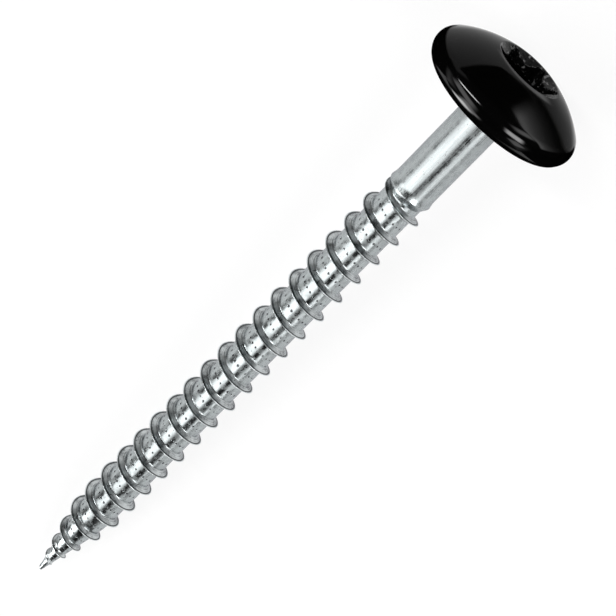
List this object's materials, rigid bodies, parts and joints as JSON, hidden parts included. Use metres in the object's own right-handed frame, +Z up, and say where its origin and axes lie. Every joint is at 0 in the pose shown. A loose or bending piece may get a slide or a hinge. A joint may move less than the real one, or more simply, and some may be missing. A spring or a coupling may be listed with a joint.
{
  "type": "facade screw",
  "caption": "One-piece facade screw with a wide low domed head, a star socket, a plain shank and a coarse wood thread down to a slim point.",
  "frame": {"origin": "bottom centre of the bounding box, on the surface that the screw lies on", "axes": "+X along the screw towards its head, which the axis rises to by about 5 degrees; +Z up"},
  "size_m": [0.0748, 0.0162, 0.0161],
  "materials": {
    "zinc_steel": "bright zinc plating; the head is painted glossy black"
  },
  "bodies": {
    "root": {"screw": "zinc_steel"}
  },
  "joints": []
}
